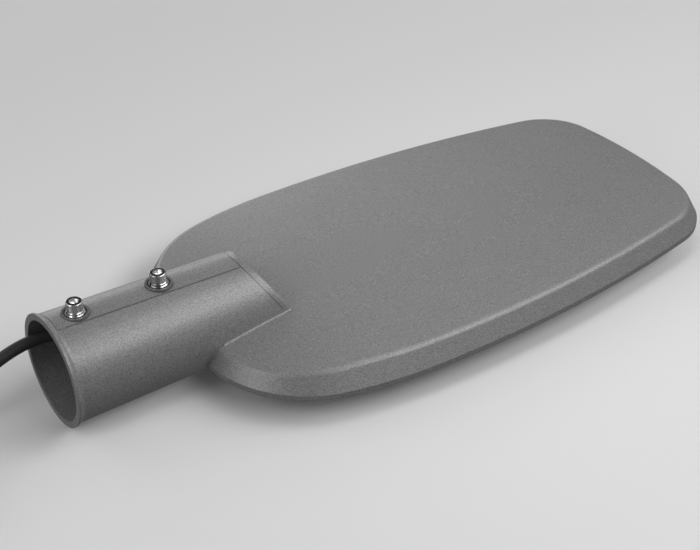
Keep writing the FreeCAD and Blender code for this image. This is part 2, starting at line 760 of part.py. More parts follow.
def make_housing():
    plate = make_plate()
    recess = make_recess()
    shell = cut("plate_shell", plate, recess)
    bay = block("bay_form", "bay_rear", BAY_LENGTH, "bay_half_width", BAY_RIM, f"-2 - {BAY_RIM}",
                "bay_corner")
    casting = fuse("casting_form", [shell, make_ribs(plate), bay, make_tube(), make_nose(), make_strip(),
                                    make_boss("mouth"), make_boss("inner")])
    hollows = [make_socket_hollow(), make_neck_hollow(), make_bay_hollow(),
               lamp_layer("lens_rebate", "0", "-plate_drop - cut_past", f"{LEDGE} + plate_drop + cut_past"),
               lamp_layer("lamp_hollow", "lens_ledge", "-plate_drop", "plate_drop - skin_level"),
               box("wire_slot", ("lens_gap + lens_ledge + bay_wall + cut_past * 4", "wire_slot_width",
                                 "wire_slot_height"),
                   (f"{BAY_FRONT} - bay_wall - cut_past * 2", "-wire_slot_width / 2",
                    "-skin_level - hole_spare - wire_slot_height")),
               cylinder("gland_hole", "(gland_thread + thread_clearance) / 2", "web + cut_past * 2",
                        ("socket_depth - cut_past", "gland_across", "0"), ALONG_X),
               cylinder("vent_hole", "(vent_thread + thread_clearance) / 2", "bay_wall + cut_past * 2",
                        (f"{BAY_FRONT} - bay_wall - cut_past", VENT_ACROSS, VENT_LEVEL), ALONG_X)]
    for side, (at, seat) in BOSSES.items():
        hollows.append(cylinder(f"boss_{side}_well", "boss_well_radius", "well_depth + boss_foot_depth",
                                (at, "0", seat)))
        hollows.append(cylinder(f"boss_{side}_hole", "(clamp_shank + thread_clearance) / 2",
                                "boss_hole_depth + cut_past", (at, "0", f"{seat} - boss_hole_depth")))
    for index, (x, y) in enumerate(cover_screw_places()):
        hollows.append(cylinder(f"cover_hole_{index}", "(cover_screw_shank + thread_clearance) / 2",
                                "cover_screw_length + cut_past", (x, y, f"{BAY_RIM} - cut_past")))
    for index, (x, y) in enumerate(panel_screw_places()):
        hollows.append(cylinder(f"panel_hole_{index}", "(panel_screw_shank + thread_clearance) / 2",
                                "panel_screw_length - lens_thickness - lens_gasket_thickness + hole_spare"
                                " + cut_past", (x, y, f"{LEDGE} - cut_past")))
    for index, (x, y) in enumerate(board_screw_places()):
        hollows.append(cylinder(f"board_hole_{index}", "(board_screw_shank + thread_clearance) / 2",
                                "board_screw_length - board_thickness + thread_clearance + cut_past",
                                (x, y, "-skin_level - cut_past")))
    for index, (x, y) in enumerate(driver_screw_places()):
        hollows.append(cylinder(f"driver_hole_{index}", "(driver_screw_shank + thread_clearance) / 2",
                                "driver_screw_length - driver_tab_thickness + thread_clearance + cut_past",
                                (x, y, "-skin_level - cut_past")))
    return cut("housing_solid", casting, fuse("hollows", hollows))


# Lamp bay: panel with its lenses, gasket, board, LEDs and screws

PANEL_LOW = "-plate_drop"


def screw(name, places, head_radius, head_height, shank_radius, shank_length, seat):
    """Pan-head screws driven upwards, their heads seated at a level."""
    pieces = []
    for index, (x, y) in enumerate(places):
        head = cylinder(f"{name}_head_{index}", head_radius, head_height, (x, y, f"{seat} - ({head_height})"))
        shank = cylinder(f"{name}_shank_{index}", shank_radius, f"{shank_length} + cut_past",
                         (x, y, f"{seat} - cut_past"))
        pieces.append(fuse(f"{name}_{index}", [head, shank]))
    return doc_compound(name, pieces)


def doc_compound(name, pieces):
    item = doc.addObject("Part::Compound", name)
    item.Links = pieces
    return item


def drilled(name, base, places, radius, low, height):
    """The base with an upright hole at each place."""
    holes = [cylinder(f"{name}_hole_{index}", radius, height, (x, y, low))
             for index, (x, y) in enumerate(places)]
    return cut(name + "_drilled", base, fuse(name + "_holes", holes))


def make_lens_panel():
    sheet_form = lamp_layer("panel_sheet", "lens_clearance", PANEL_LOW, "lens_thickness")
    centre = "dome_radius - dome_height - plate_drop"
    domes = []
    for index, (x, y) in enumerate(led_places()):
        ball = doc.addObject("Part::Sphere", f"lens_ball_{index}")
        bind(ball, Radius="dome_radius")
        domes.append(place(ball, (x, y, centre)))
    below = block("dome_room", LENS_REAR, "plate_length", "lens_half_width",
                  f"{PANEL_LOW} - dome_height - cut_past", "dome_height + cut_past + lens_thickness / 2",
                  "lens_corner")
    lenses = common("lenses", [fuse("lens_balls", domes), below])
    solid = fuse("panel_solid", [sheet_form, lenses])
    return drilled("lens_panel", solid, panel_screw_places(), "(panel_screw_shank + thread_clearance) / 2",
                   f"{PANEL_LOW} - cut_past", "lens_thickness + cut_past * 2")


def make_lens_gasket():
    low = "lens_thickness - plate_drop"
    outer = lamp_layer("gasket_outer", "lens_clearance", low, "lens_gasket_thickness")
    inner = lamp_layer("gasket_inner", "lens_ledge", f"{low} - cut_past",
                       "lens_gasket_thickness + cut_past * 2")
    return drilled("lens_gasket", cut("gasket_ring", outer, inner), panel_screw_places(),
                   "(panel_screw_shank + thread_clearance) / 2", f"{low} - cut_past",
                   "lens_gasket_thickness + cut_past * 2")


def make_led_board():
    solid = lamp_layer("board_solid", "lens_ledge + board_clearance", "-skin_level - board_thickness",
                       "board_thickness")
    return drilled("led_board", solid, board_screw_places(), "(board_screw_shank + thread_clearance) / 2",
                   "-skin_level - board_thickness - cut_past", "board_thickness + cut_past * 2")


def make_leds():
    level = "-skin_level - board_thickness - led_height"
    return doc_compound("led_set", [box(f"led_{index}", ("led_side", "led_side", "led_height"),
                                        (x - num("led_side / 2"), y - num("led_side / 2"), level))
                                    for index, (x, y) in enumerate(led_places())])


# Driver bay: cover, gasket, driver, vent and screws

COVER_HOLE = "(cover_screw_shank + screw_clearance) / 2"


def make_driver_cover():
    sheet_form = block("cover_sheet", "bay_rear", BAY_LENGTH, "bay_half_width", REST, "cover_thickness",
                       "bay_corner")
    sinks = []
    for index, (x, y) in enumerate(cover_screw_places()):
        sinks.append(cone(f"cover_sink_{index}", "(cover_screw_head + screw_clearance) / 2", COVER_HOLE,
                          "cover_screw_sink", (x, y, REST)))
        sinks.append(cylinder(f"cover_clear_{index}", COVER_HOLE, "cover_thickness + cut_past * 2",
                              (x, y, f"{REST} - cut_past")))
    return cut("cover_solid", sheet_form, fuse("cover_sinks", sinks))


def make_cover_gasket():
    low = f"({REST} + cover_thickness)"
    sheet_form = block("cover_gasket_sheet", "bay_rear", BAY_LENGTH, "bay_half_width", low,
                       "cover_gasket_thickness", "bay_corner")
    ring = cut("cover_gasket_ring", sheet_form, doc.getObject("bay_hollow"))
    return drilled("cover_gasket", ring, cover_screw_places(), COVER_HOLE, f"{low} - cut_past",
                   "cover_gasket_thickness + cut_past * 2")


def make_cover_screws():
    screws = []
    for index, (x, y) in enumerate(cover_screw_places()):
        head = cone(f"cover_screw_head_{index}", "cover_screw_head / 2", "cover_screw_shank / 2",
                    "cover_screw_sink", (x, y, REST))
        shank = cylinder(f"cover_screw_shank_{index}", "cover_screw_shank / 2",
                         "cover_screw_length - cover_screw_sink / 2", (x, y, f"{REST} + cover_screw_sink / 2"))
        screws.append(fuse(f"cover_screw_{index}", [head, shank]))
    return doc_compound("cover_screw_set", screws)


def make_driver():
    low = "-skin_level - driver_height"
    case = block("driver_case", DRIVER_REAR, "driver_length", "driver_width / 2", low, "driver_height",
                 "driver_corner")
    tab_low = "-skin_level - driver_tab_thickness"
    tabs = []
    for index, (x, y) in enumerate(driver_screw_places()):
        tabs.append(box(f"driver_tab_{index}",
                        ("driver_tab", "driver_tab + cut_past * 2", "driver_tab_thickness"),
                        (f"{x} - driver_tab / 2", f"{y} - driver_tab / 2 - cut_past", tab_low)))
    return drilled("driver", fuse("driver_solid", [case] + tabs), driver_screw_places(),
                   "(driver_screw_shank + thread_clearance) / 2", f"{tab_low} - cut_past",
                   "driver_tab_thickness + cut_past * 2")


def make_vent():
    stem = cylinder("vent_stem", "vent_thread / 2", "bay_wall + vent_thread_tail + hole_spare",
                    (f"{BAY_FRONT} - bay_wall - vent_thread_tail", VENT_ACROSS, VENT_LEVEL), ALONG_X)
    head = cylinder("vent_cap", "vent_head / 2", "vent_head_height", (BAY_FRONT, VENT_ACROSS, VENT_LEVEL),
                    ALONG_X)
    edge = doc.addObject("Part::Chamfer", "vent_solid")
    edge.Base = head
    doc.recompute()
    eased = num("vent_head_edge")
    edge.Edges = [(index, eased, eased) for index, item in enumerate(head.Shape.Edges, start=1)
                  if item.BoundBox.XMin > num(f"{BAY_FRONT} + vent_head_height / 2")]
    return fuse("vent_whole", [stem, edge])


# Clamp screws with their washers

def ring(name, outside, bore, thickness, at):
    outer = cylinder(name + "_outer", f"{outside} / 2", thickness, at)
    inner = cylinder(name + "_inner", f"{bore} / 2", f"{thickness} + cut_past * 2",
                     (at[0], at[1], f"{at[2]} - cut_past"))
    return cut(name + "_ring", outer, inner)


def make_clamp_screw(side):
    at, seat = BOSSES[side]
    under = f"{seat} + washer_thickness + spring_thickness"
    head = cylinder(f"clamp_{side}_head", "clamp_head / 2", "clamp_head_height", (at, "0", under))
    doc.recompute()
    eased = doc.addObject("Part::Fillet", f"clamp_{side}_eased")
    eased.Base = head
    half_way = num(f"{under} + clamp_head_height / 2")
    edge_radius = num("clamp_head_edge")
    eased.Edges = [(index, edge_radius, edge_radius) for index, edge in enumerate(head.Shape.Edges, start=1)
                   if edge.BoundBox.ZMin > half_way]
    shank = cylinder(f"clamp_{side}_shank", "clamp_shank / 2", "clamp_length + cut_past",
                     (at, "0", f"{under} - clamp_length"))
    key = hexagon(f"clamp_{side}_key", "clamp_socket", "clamp_socket_depth + cut_past",
                  (at, "0", f"{under} + clamp_head_height - clamp_socket_depth"))
    return cut(f"clamp_{side}_solid", fuse(f"clamp_{side}_form", [eased, shank]), key)


def make_flat_washer(side):
    at, seat = BOSSES[side]
    return ring(f"flat_{side}", "washer_outside", "washer_bore", "washer_thickness", (at, "0", seat))


def make_spring_washer(side):
    at, seat = BOSSES[side]
    level = f"{seat} + washer_thickness"
    closed = ring(f"spring_{side}", "spring_outside", "spring_bore", "spring_thickness", (at, "0", level))
    gap = box(f"spring_{side}_gap", ("spring_outside", "spring_gap", "spring_thickness + cut_past * 2"),
              (f"{at} - spring_outside", "-spring_gap / 2", f"{level} - cut_past"))
    return cut(f"spring_{side}_solid", closed, gap)


# Cable gland in the web, and what it leads to

CAP_FACE = "socket_depth - gland_hex_length - gland_cap_length"
CABLE_BORE = "(cable + cable_clearance) / 2"


def along(name, radius, start, end):
    """A round bar on the gland's axis between two stations."""
    return cylinder(name, radius, f"({end}) - ({start})", (start, "gland_across", "0"), ALONG_X)


def make_gland_body():
    hexed = hexagon("gland_flange", "gland_hex", "gland_hex_length",
                    ("socket_depth - gland_hex_length", "gland_across", "0"), ALONG_X)
    thread = along("gland_thread_form", "gland_thread / 2", "socket_depth - cut_past",
                   "socket_depth + web + gland_nut_length + gland_tail")
    sleeve = along("gland_sleeve_form", "gland_sleeve / 2",
                   "socket_depth - gland_hex_length - gland_sleeve_length", "socket_depth - cut_past")
    bore = along("gland_bore", CABLE_BORE, CAP_FACE,
                 "socket_depth + web + gland_nut_length + gland_tail + cut_past")
    return cut("gland_body_solid", fuse("gland_body_form", [hexed, thread, sleeve]), bore)


def make_gland_cap():
    outer = along("gland_cap_form", "gland_cap_outside / 2", CAP_FACE, "socket_depth - gland_hex_length")
    room = along("gland_cap_room", "gland_sleeve / 2 + cap_clearance", f"{CAP_FACE} + gland_cap_wall",
                 "socket_depth - gland_hex_length + cut_past")
    mouth = along("gland_cap_mouth", CABLE_BORE, f"{CAP_FACE} - cut_past",
                  f"{CAP_FACE} + gland_cap_wall + cut_past")
    return cut("gland_cap_solid", outer, fuse("gland_cap_hollow", [room, mouth]))


def make_gland_seal():
    start = f"{CAP_FACE} + gland_cap_wall"
    end = "socket_depth - gland_hex_length - gland_sleeve_length"
    outer = along("gland_seal_form", "gland_sleeve / 2 - seal_clearance", start, end)
    bore = along("gland_seal_bore", "cable / 2", f"{start} - cut_past", f"{end} + cut_past")
    return cut("gland_seal_solid", outer, bore)


def make_gland_nut():
    nut = hexagon("gland_nut_form", "gland_nut", "gland_nut_length",
                  ("socket_depth + web", "gland_across", "0"), ALONG_X)
    bore = along("gland_nut_bore", "(gland_thread + thread_clearance) / 2", "socket_depth",
                 "socket_depth + web + gland_nut_length + cut_past")
    return cut("gland_nut_solid", nut, bore)


INNER_END = "socket_depth + web + gland_nut_length + gland_tail + inner_lead"


def make_inner_lead():
    return along("inner_lead_solid", "cable / 2", CAP_FACE, INNER_END)


def make_terminal_block():
    low = "-skin_level - block_height"
    body = box("block_body", ("block_length", "block_width", "block_height"),
               (BLOCK_REAR, "gland_across - block_width / 2", low))
    screws = []
    for index in range(3):
        across = f"gland_across + ({index} - 1) * block_width / 3"
        screws.append(cylinder(f"block_well_{index}", "block_screw / 2", "block_screw_depth + cut_past",
                               (f"{BLOCK_REAR} + block_length / 2", across, f"{low} - cut_past")))
    return cut("block_solid", body, fuse("block_wells", screws))


def make_earth_screw():
    at = (f"{BLOCK_REAR} + block_length / 2", "gland_across - block_width / 2 - earth_offset")
    head = cylinder("earth_head", "driver_screw_head / 2", "earth_head_height",
                    (at[0], at[1], "-skin_level - earth_tag_thickness - earth_head_height"))
    tag = cylinder("earth_tag", "driver_screw_head / 2 + earth_tag_rim", "earth_tag_thickness",
                   (at[0], at[1], "-skin_level - earth_tag_thickness"))
    return fuse("earth_solid", [head, tag])


# Wires and the supply cable: round tubes along straight runs joined by tangent arcs

def path_wire(points, report=None):
    """Straight runs joined by arcs as large as 0.45 of the shorter run beside each point allows."""
    edges = []
    start = points[0]
    radii = []
    for before, corner, after in zip(points, points[1:], points[2:]):
        incoming = (before - corner).normalize()
        outgoing = (after - corner).normalize()
        reach = 0.45 * min((corner - before).Length, (after - corner).Length)
        half_turn = (math.pi - incoming.getAngle(outgoing)) / 2
        radius = reach / math.tan(half_turn)
        radii.append(radius)
        into = corner + incoming * reach
        out = corner + outgoing * reach
        inward = (incoming + outgoing).normalize()
        middle = corner + inward * (radius / math.cos(half_turn) - radius)
        edges.append(Part.LineSegment(start, into).toShape())
        edges.append(Part.Arc(into, middle, out).toShape())
        start = out
    edges.append(Part.LineSegment(start, points[-1]).toShape())
    if report:
        print(report, "bend radii:", ", ".join(f"{radius:.0f}" for radius in radii))
    return Part.Wire(edges)


def tube(points, diameter, report=None):
    """A round solid along a route, with its volume compared with its section times its length."""
    wire = path_wire(points, report)
    ends = points[1] - points[0]
    section = Part.Wire(Part.Circle(points[0], ends, diameter / 2).toShape())
    solid = wire.makePipeShell([section], True, False)
    if solid.Volume < 0:
        solid.reverse()
    expected = math.pi * diameter ** 2 / 4 * wire.Length
    assert abs(solid.Volume - expected) < 0.01 * expected, f"{report} tube has the wrong volume"
    if report:
        print(report, f"length {wire.Length:.1f} mm")
    return solid


def feature(name, shape):
    item = doc.addObject("Part::Feature", name)
    item.Shape = shape
    item.Placement = Placement()
    return item


def gland_point(x, offset=(0, 0)):
    return Vector(num(x), num("gland_across") + offset[0], offset[1])


# Level at which the wires meet the terminal block, and how far from their bundle's middle its cores lie
BLOCK_WIRES = "(-skin_level - block_height * 0.6)"
CORE_SPREAD = 0.65


def make_supply_cores():
    """Three cores from the cable's end down to the terminal block."""
    core = num("core")
    start = num(INNER_END)
    face = num(BLOCK_REAR)
    level = num(BLOCK_WIRES)
    pitch = num("block_width") / 3
    run = Vector(num("core_run"), 0, 0)
    wires = []
    for index, order in enumerate((0, -1, 1)):
        angle = math.radians(90 + 120 * index)
        offset = (core * CORE_SPREAD * math.cos(angle), core * CORE_SPREAD * math.sin(angle))
        across = num("gland_across") + order * pitch
        wires.append(tube([gland_point(INNER_END, offset), gland_point(INNER_END, offset) + run,
                           Vector(face - num("core_drop_room"), across, level), Vector(face, across, level)],
                          core))
    return feature("supply_cores_solid", Part.Compound(wires))


def make_driver_leads():
    leads = [cylinder(f"driver_lead_{index}", "core / 2", "wiring_room",
                      (f"{BLOCK_REAR} + block_length", f"gland_across + ({index} - 1) * block_width / 3",
                       BLOCK_WIRES),
                      ALONG_X) for index in range(3)]
    return doc_compound("driver_lead_set", leads)


def make_led_leads():
    radius = "wire_slot_height / 4"
    level = f"-skin_level - board_thickness - {radius}"
    start = f"{DRIVER_REAR} + driver_length"
    reach = f"{LENS_REAR} + lens_ledge + board_clearance + wire_slot_height - ({start})"
    leads = [cylinder(f"led_lead_{index}", radius, reach, (start, f"({index} - 0.5) * wire_slot_height", level),
                      ALONG_X) for index in range(2)]
    return doc_compound("led_lead_set", leads)


# The cable's route, by hand: from the gland along the socket's wall, over its rim and down to the floor

def cable_points():
    floor = num(f"{REST} + tie_thickness + cable / 2")
    radius = num("coil_radius")
    centre = Vector(num("coil_x"), num("coil_y"), floor)
    end = centre + Vector(num("coil_stub"), radius, 0)
    straight = num("cable_straight")
    return [gland_point(CAP_FACE), gland_point(CAP_FACE) - Vector(straight, 0, 0), Vector(41, 17.5, 2.5),
            Vector(21, 23.5, 5.5), Vector(1, 26.5, 6.5), Vector(-20, 26.8, 1.5), Vector(-39, 26, -8.5),
            Vector(-57, 24, -19.5), Vector(-77, 20, floor + 3), end + Vector(straight, 0, 0), end]


def make_cable():
    return feature("cable_solid", tube(cable_points(), num("cable"), "supply cable"))


def make_coil():
    """The closed outer shape of the coil's stacked layers, with both ends leaving sideways."""
    turns = "cable * coil_layers"
    low = f"{REST} + tie_thickness"
    outer = cylinder("coil_outer", "coil_radius + cable / 2", turns, ("coil_x", "coil_y", low))
    inner = cylinder("coil_inner", "coil_radius - cable / 2", f"{turns} + cut_past * 2",
                     ("coil_x", "coil_y", f"{low} - cut_past"))
    lower = cylinder("coil_entry", "cable / 2", "coil_stub", ("coil_x", "coil_y + coil_radius",
                                                               f"{low} + cable / 2"), ALONG_X)
    upper = cylinder("coil_exit", "cable / 2", "coil_stub",
                     ("coil_x - coil_stub", "coil_y + coil_radius", f"{low} + {turns} - cable / 2"), ALONG_X)
    return fuse("coil_solid", [cut("coil_ring", outer, inner), lower, upper])


def make_core_ends():
    """Three stripped cores with ferrules on the cable's far end."""
    level = f"{REST} + tie_thickness + cable * coil_layers - cable / 2"
    ends = []
    for index in range(3):
        angle = math.radians(90 + 120 * index)
        y = f"coil_y + coil_radius + core * {CORE_SPREAD * math.cos(angle):.4f}"
        z = f"{level} + core * {CORE_SPREAD * math.sin(angle):.4f}"
        start = "coil_x - coil_stub"
        sheath = cylinder(f"core_{index}", "core / 2", "core_length", (f"{start} - core_length", y, z), ALONG_X)
        tip = cylinder(f"ferrule_{index}", "ferrule / 2", "ferrule_length + cut_past",
                       (f"{start} - core_length - ferrule_length", y, z), ALONG_X)
        ends.append(fuse(f"core_end_{index}", [sheath, tip]))
    return doc_compound("core_end_set", ends)


def make_tie():
    """A cable tie round the turns, on the side away from the ends."""
    thick = "tie_thickness"
    width = "cable + tie_thickness * 2"
    rise = "cable * coil_layers"
    at = ("coil_x - tie_width / 2", f"coil_y - coil_radius - cable / 2 - {thick}", REST)
    outer = box("tie_outer", ("tie_width", width, f"{rise} + {thick} * 2"), at)
    ring_room = cut("tie_form", outer, doc.getObject("coil_ring"))
    room = box("tie_room", ("tie_width * 2", "cable", rise),
               ("coil_x - tie_width", "coil_y - coil_radius - cable / 2", f"{REST} + {thick}"))
    return cut("tie_solid", ring_room, room)


PARTS = {
    "housing": make_housing(),
    "lens_panel": make_lens_panel(),
    "lens_gasket": make_lens_gasket(),
    "led_board": make_led_board(),
    "leds": make_leds(),
    "led_board_screws": screw("board_screws", board_screw_places(), "board_screw_head / 2",
                              "board_screw_head_height", "board_screw_shank / 2", "board_screw_length",
                              "-skin_level - board_thickness"),
    "lens_panel_screws": screw("panel_screws", panel_screw_places(), "panel_screw_head / 2",
                               "panel_screw_head_height", "panel_screw_shank / 2", "panel_screw_length",
                               PANEL_LOW),
    "driver": make_driver(),
    "driver_screws": screw("driver_screw", driver_screw_places(), "driver_screw_head / 2",
                           "driver_screw_head_height", "driver_screw_shank / 2", "driver_screw_length",
                           "-skin_level - driver_tab_thickness"),
    "driver_cover": make_driver_cover(),
    "cover_gasket": make_cover_gasket(),
    "cover_screws": make_cover_screws(),
    "breather_vent": make_vent(),
    "gland_body": make_gland_body(),
    "gland_cap": make_gland_cap(),
    "gland_seal": make_gland_seal(),
    "gland_locknut": make_gland_nut(),
    "cable_inner_end": make_inner_lead(),
    "terminal_block": make_terminal_block(),
    "earth_screw": make_earth_screw(),
    "supply_cores": make_supply_cores(),
    "driver_input_wires": make_driver_leads(),
    "led_wires": make_led_leads(),
    "clamp_screw_mouth": make_clamp_screw("mouth"),
    "flat_washer_mouth": make_flat_washer("mouth"),
    "spring_washer_mouth": make_spring_washer("mouth"),
    "clamp_screw_inner": make_clamp_screw("inner"),
    "flat_washer_inner": make_flat_washer("inner"),
    "spring_washer_inner": make_spring_washer("inner"),
    "supply_cable": make_cable(),
    "supply_cable_coil": make_coil(),
    "coil_tie": make_tie(),
    "core_ends": make_core_ends(),
}
doc.recompute()

for item in doc.Objects:
    assert not {"Invalid", "Error"} & set(item.State), f"{item.Name} failed: {item.State}"
os.makedirs("parts", exist_ok=True)
for node, item in PARTS.items():
    item.Label = node
    shape = item.Shape
    assert not shape.isNull() and shape.isValid() and shape.Solids, f"{node} has no valid solid"
    shape.exportStep(f"parts/{node}.step")
    print(f"{node}: {len(shape.Solids)} solid(s), {shape.Volume:.0f} cubic mm")
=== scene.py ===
import math

import bmesh
import bpy
from mathutils import Matrix, Vector


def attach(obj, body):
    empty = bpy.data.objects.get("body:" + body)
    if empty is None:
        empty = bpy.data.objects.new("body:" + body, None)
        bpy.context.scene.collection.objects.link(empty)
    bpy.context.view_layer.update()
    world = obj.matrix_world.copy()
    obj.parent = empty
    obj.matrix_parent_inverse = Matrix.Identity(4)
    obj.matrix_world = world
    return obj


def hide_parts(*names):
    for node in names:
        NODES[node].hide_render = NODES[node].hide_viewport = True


MM = 0.001
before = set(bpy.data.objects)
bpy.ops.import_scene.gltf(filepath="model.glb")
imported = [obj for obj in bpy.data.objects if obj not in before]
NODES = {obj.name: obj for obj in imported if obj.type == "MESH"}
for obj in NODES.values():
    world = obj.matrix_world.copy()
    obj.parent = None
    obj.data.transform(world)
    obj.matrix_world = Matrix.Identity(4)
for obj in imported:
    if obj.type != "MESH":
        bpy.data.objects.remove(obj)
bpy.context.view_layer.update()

# Camera, at the photograph's viewing angle
# The view is from the socket's end, to its right and from above, with a slight roll.

IMAGE_WIDTH = 700
IMAGE_HEIGHT = 550
SENSOR = 36.0
CAMERA_PLACE = Vector((-235.9, -657.9, 524.8)) * MM
CAMERA_RIGHT = Vector((0.8171, -0.5765, 0.0055))
CAMERA_UP = Vector((0.3357, 0.4836, 0.8084))
CAMERA_BACK = Vector((-0.4687, -0.6586, 0.5887))
FOCAL_PIXELS = 1465.25
CENTRE_PIXEL = (377.05, 325.06)
CLIP_START = 0.01
CLIP_END = 100.0


def make_camera():
    data = bpy.data.cameras.new("camera")
    camera = bpy.data.objects.new("camera", data)
    bpy.context.scene.collection.objects.link(camera)
    data.sensor_width = SENSOR
    data.lens = FOCAL_PIXELS / IMAGE_WIDTH * SENSOR
    data.shift_x = (IMAGE_WIDTH / 2 - CENTRE_PIXEL[0]) / IMAGE_WIDTH
    data.shift_y = (CENTRE_PIXEL[1] - IMAGE_HEIGHT / 2) / IMAGE_WIDTH
    data.clip_start = CLIP_START
    data.clip_end = CLIP_END
    turned = Matrix((CAMERA_RIGHT, CAMERA_UP, CAMERA_BACK)).transposed()
    camera.matrix_world = Matrix.Translation(CAMERA_PLACE) @ turned.to_4x4()
    bpy.context.scene.camera = camera


# Node helpers for the procedural materials

MIX_FACTOR = 0
MIX_FIRST_COLOUR = 6
MIX_SECOND_COLOUR = 7
MIX_COLOUR_RESULT = 2


class Paint:
    """A material's node tree, with short calls for the nodes that the finishes use."""

    def __init__(self, name):
        self.material = bpy.data.materials.new(name)
        self.material.use_nodes = True
        self.tree = self.material.node_tree
        self.shader = self.tree.nodes["Principled BSDF"]
        coordinates = self.tree.nodes.new("ShaderNodeTexCoord")
        self.place = coordinates.outputs["Object"]

    def add(self, kind, inputs=None, **settings):
        node = self.tree.nodes.new(kind)
        for name, value in settings.items():
            setattr(node, name, value)
        for name, value in (inputs or {}).items():
            self.put(node, name, value)
        return node

    def put(self, node, name, value):
        socket = node.inputs[name]
        if isinstance(value, bpy.types.NodeSocket):
            self.tree.links.new(value, socket)
        else:
            socket.default_value = value

    def set(self, **values):
        for name, value in values.items():
            self.put(self.shader, name.replace("_", " "), value)

    def noise(self, size, detail=2.0, roughness=0.5, place=None):
        """Noise whose lumps are about size metres across."""
        node = self.add("ShaderNodeTexNoise", {"Vector": place or self.place, "Scale": 1.0 / size,
                                               "Detail": detail, "Roughness": roughness})
        return node.outputs["Fac"]

    def ramp(self, value, low, high, start, end):
        """Map value from low..high to start..end."""
        node = self.add("ShaderNodeMapRange", {"Value": value, "From Min": low, "From Max": high,
                                               "To Min": start, "To Max": end})
        return node.outputs["Result"]

    def spread(self, pattern, low, high):
        """Stretch the pattern so that low becomes 0 and high becomes 1."""
        return self.ramp(pattern, low, high, 0.0, 1.0)

    def above(self, value, level, fade):
        """0 up to the level and 1 from level + fade on, both in mm."""
        return self.ramp(value, level * MM, (level + fade) * MM, 0.0, 1.0)

    def below(self, value, level, fade):
        """1 up to the level and 0 from level + fade on, both in mm."""
        return self.ramp(value, level * MM, (level + fade) * MM, 1.0, 0.0)

    def mix(self, factor, first, second):
        node = self.add("ShaderNodeMix", {}, data_type="RGBA")
        self.put(node, MIX_FACTOR, factor)
        self.put(node, MIX_FIRST_COLOUR, first)
        self.put(node, MIX_SECOND_COLOUR, second)
        return node.outputs[MIX_COLOUR_RESULT]

    def split(self):
        """X, Y and Z of the place, in metres of the object frame."""
        node = self.add("ShaderNodeSeparateXYZ", {"Vector": self.place})
        return node.outputs["X"], node.outputs["Y"], node.outputs["Z"]

    def flat_place(self):
        """The place with its height left out, so that a pattern runs straight up and down."""
        node = self.add("ShaderNodeVectorMath", {}, operation="MULTIPLY")
        self.put(node, 0, self.place)
        self.put(node, 1, (1.0, 1.0, 0.0))
        return node.outputs["Vector"]

    def from_axis(self, x):
        """Distance from the upright axis that stands at x mm in the head's middle plane."""
        node = self.add("ShaderNodeVectorMath", {}, operation="DISTANCE")
        self.put(node, 0, self.flat_place())
        self.put(node, 1, (x * MM, 0.0, 0.0))
        return node.outputs["Value"]

    def math(self, operation, first, second):
        node = self.add("ShaderNodeMath", {}, operation=operation)
        self.put(node, 0, first)
        self.put(node, 1, second)
        return node.outputs[0]

    def absolute(self, value):
        return self.math("ABSOLUTE", value, 0.0)

    def product(self, first, *others):
        for other in others:
            first = self.math("MULTIPLY", first, other)
        return first

    def bump(self, height, distance, strength):
        node = self.add("ShaderNodeBump", {"Height": height, "Distance": distance, "Strength": strength})
        return node.outputs["Normal"]


def grey(value):
    return (value, value, value, 1.0)


# Painted shade on the housing's coat, in mm
# The step behind the tube's nose lies in the plane x + NOSE_SLOPE * z = NOSE_PLANE. The strengths are shares,
# and so is LINE_CORE, the part of a line's width that is fully dark.

NOSE_SLOPE = 0.6249
NOSE_PLANE = 143.54
GROOVE_WIDTH = 0.55
GROOVE_BOTTOM = 5
GROOVE_FADE = 1
CLAMP_SCREWS = (19.4, 73.3)
SEAT_EDGE = 8.5
SEAT_EDGE_FADE = 0.4
SEAT_BOTTOM = 31
SEAT_STRENGTH = 0.7
STRIP_LINE = 8.95
STRIP_LINE_WIDTH = 0.45
STRIP_BOTTOM = 29
STRIP_START = 8.5
STRIP_STRENGTH = 0.5
PAINTED_SHADE_FADE = 0.5
LINE_CORE = 0.4


def along_nose(paint, x, z):
    return paint.math("ADD", x, paint.math("MULTIPLY", z, NOSE_SLOPE))


def dark_line(paint, value, level, width):
    """1 where the value is near the level, 0 where it is width or more away."""
    away = paint.absolute(paint.math("SUBTRACT", value, level * MM))
    return paint.below(away, width * LINE_CORE, width * (1 - LINE_CORE))


def groove_shade(paint):
    """Painted shade: a dark line in the step behind the tube's nose."""
    x, _, z = paint.split()
    line = dark_line(paint, along_nose(paint, x, z), NOSE_PLANE, GROOVE_WIDTH)
    return paint.product(line, paint.above(z, GROOVE_BOTTOM, GROOVE_FADE))


def strip_shade(paint):
    """Painted shade: a dark line along the raised strip, just inside the step at each side."""
    x, y, z = paint.split()
    line = dark_line(paint, paint.absolute(y), STRIP_LINE, STRIP_LINE_WIDTH)
    high = paint.above(z, STRIP_BOTTOM, PAINTED_SHADE_FADE)
    past_collar = paint.above(x, STRIP_START, PAINTED_SHADE_FADE)
    behind_nose = paint.below(along_nose(paint, x, z), NOSE_PLANE - PAINTED_SHADE_FADE, PAINTED_SHADE_FADE)
    return paint.product(line, high, past_collar, behind_nose)


def seat_shade(paint, x):
    """Painted shade: a dark ring on the boss's top and wall round a clamp screw's washer."""
    near = paint.below(paint.from_axis(x), SEAT_EDGE, SEAT_EDGE_FADE)
    return paint.product(near, paint.above(paint.split()[2], SEAT_BOTTOM, PAINTED_SHADE_FADE))
